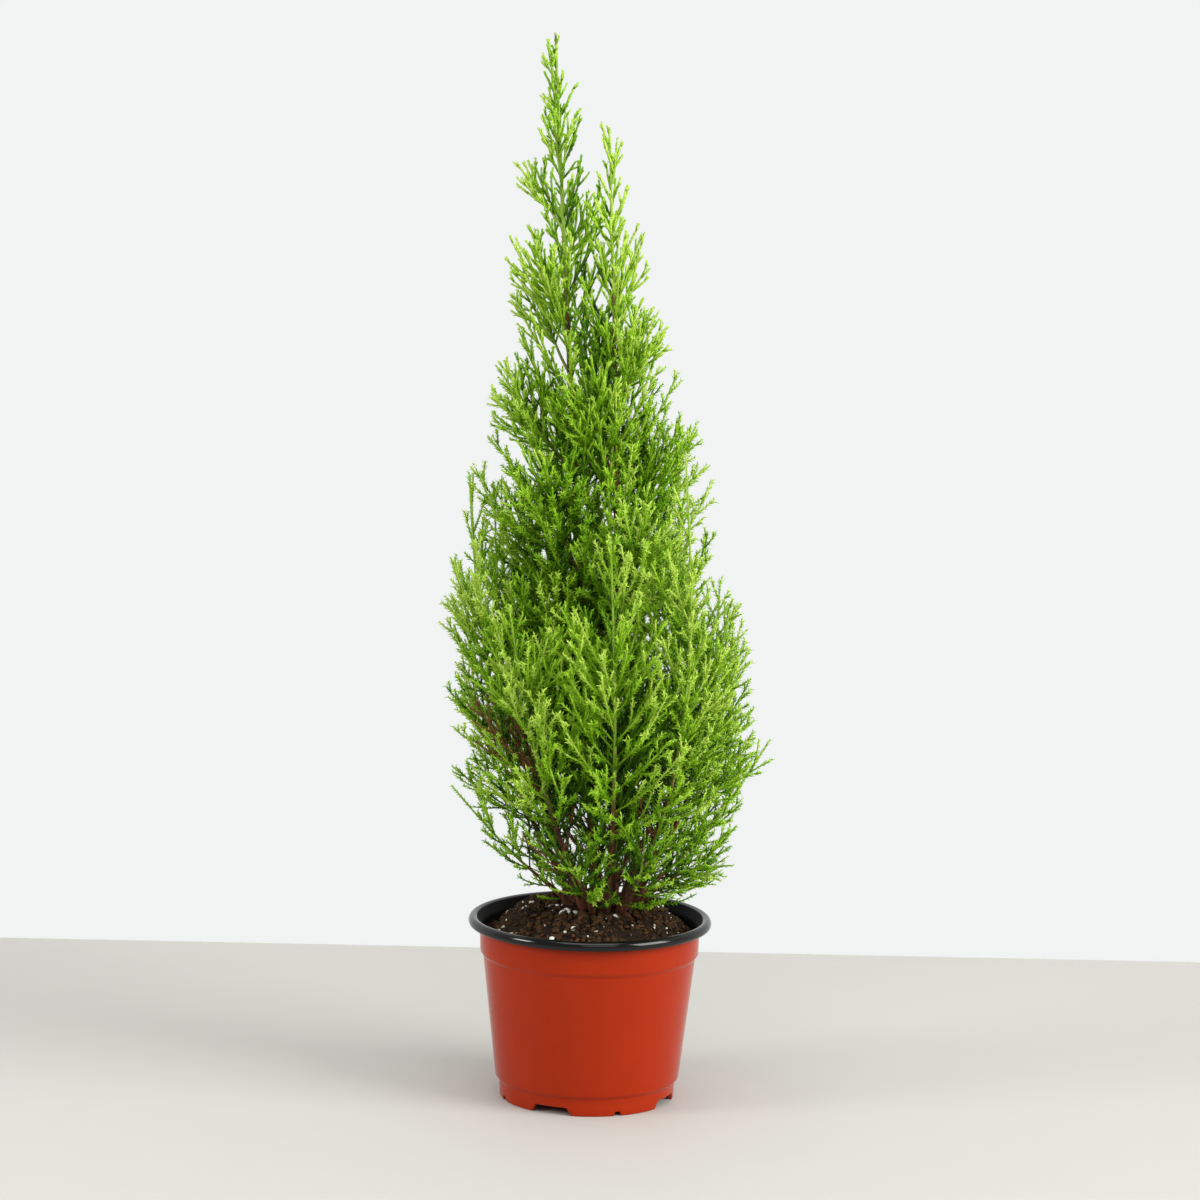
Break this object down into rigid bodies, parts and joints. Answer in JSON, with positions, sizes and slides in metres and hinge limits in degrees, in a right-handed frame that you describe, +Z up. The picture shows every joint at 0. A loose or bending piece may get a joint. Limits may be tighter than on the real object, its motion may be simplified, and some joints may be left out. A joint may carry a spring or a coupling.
{
  "type": "potted lemon cypress",
  "caption": "Young conical lemon cypress with feathery golden-green foliage on a clump of slender stems, growing in a round terracotta-coloured nursery pot with a black rolled rim.",
  "frame": {"origin": "middle of the pot's flat underside, on the surface that it stands on", "axes": "+Z up along the pot's axis, +X to the right of the picture, -Y towards the camera"},
  "size_m": [0.2059, 0.1946, 0.662],
  "materials": {
    "terracotta_plastic": "satin",
    "black_plastic": "gloss",
    "potting_mix": "rough and damp",
    "bark": "rough",
    "foliage": "soft satin"
  },
  "bodies": {
    "root": {"pot_outer_layer": "terracotta_plastic", "pot_inner_layer": "black_plastic", "potting_mix": "potting_mix", "trunk": "bark", "second_leader": "bark", "bough_1": "bark", "bough_2": "bark", "bough_3": "bark", "bough_4": "bark", "bough_5": "bark", "bough_6": "bark", "bough_7": "bark", "bough_8": "bark", "low_bough_1": "bark", "low_bough_2": "bark", "low_bough_3": "bark", "low_bough_4": "bark", "low_bough_5": "bark", "low_bough_6": "bark", "low_bough_7": "bark", "plume_bough_1": "foliage", "plume_bough_2": "foliage", "plume_bough_3": "foliage", "plume_bough_4": "foliage", "plume_bough_5": "foliage", "plume_bough_6": "foliage", "plume_bough_7": "foliage", "plume_bough_8": "foliage", "plume_low_1": "foliage", "plume_low_2": "foliage", "plume_low_3": "foliage", "plume_low_4": "foliage", "plume_low_5": "foliage", "plume_low_6": "foliage", "plume_low_7": "foliage", "plume_trunk_01": "foliage", "plume_trunk_02": "foliage", "plume_trunk_03": "foliage", "plume_trunk_04": "foliage", "plume_trunk_05": "foliage", "plume_trunk_06": "foliage", "plume_trunk_07": "foliage", "plume_trunk_08": "foliage", "plume_trunk_09": "foliage", "plume_trunk_10": "foliage", "plume_trunk_11": "foliage", "plume_trunk_12": "foliage", "plume_trunk_13": "foliage", "plume_trunk_14": "foliage", "plume_trunk_15": "foliage", "plume_trunk_16": "foliage", "plume_leader_01": "foliage", "plume_leader_02": "foliage", "plume_leader_03": "foliage", "plume_leader_04": "foliage", "plume_leader_05": "foliage", "plume_leader_06": "foliage", "plume_leader_07": "foliage", "plume_leader_08": "foliage"}
  },
  "joints": []
}
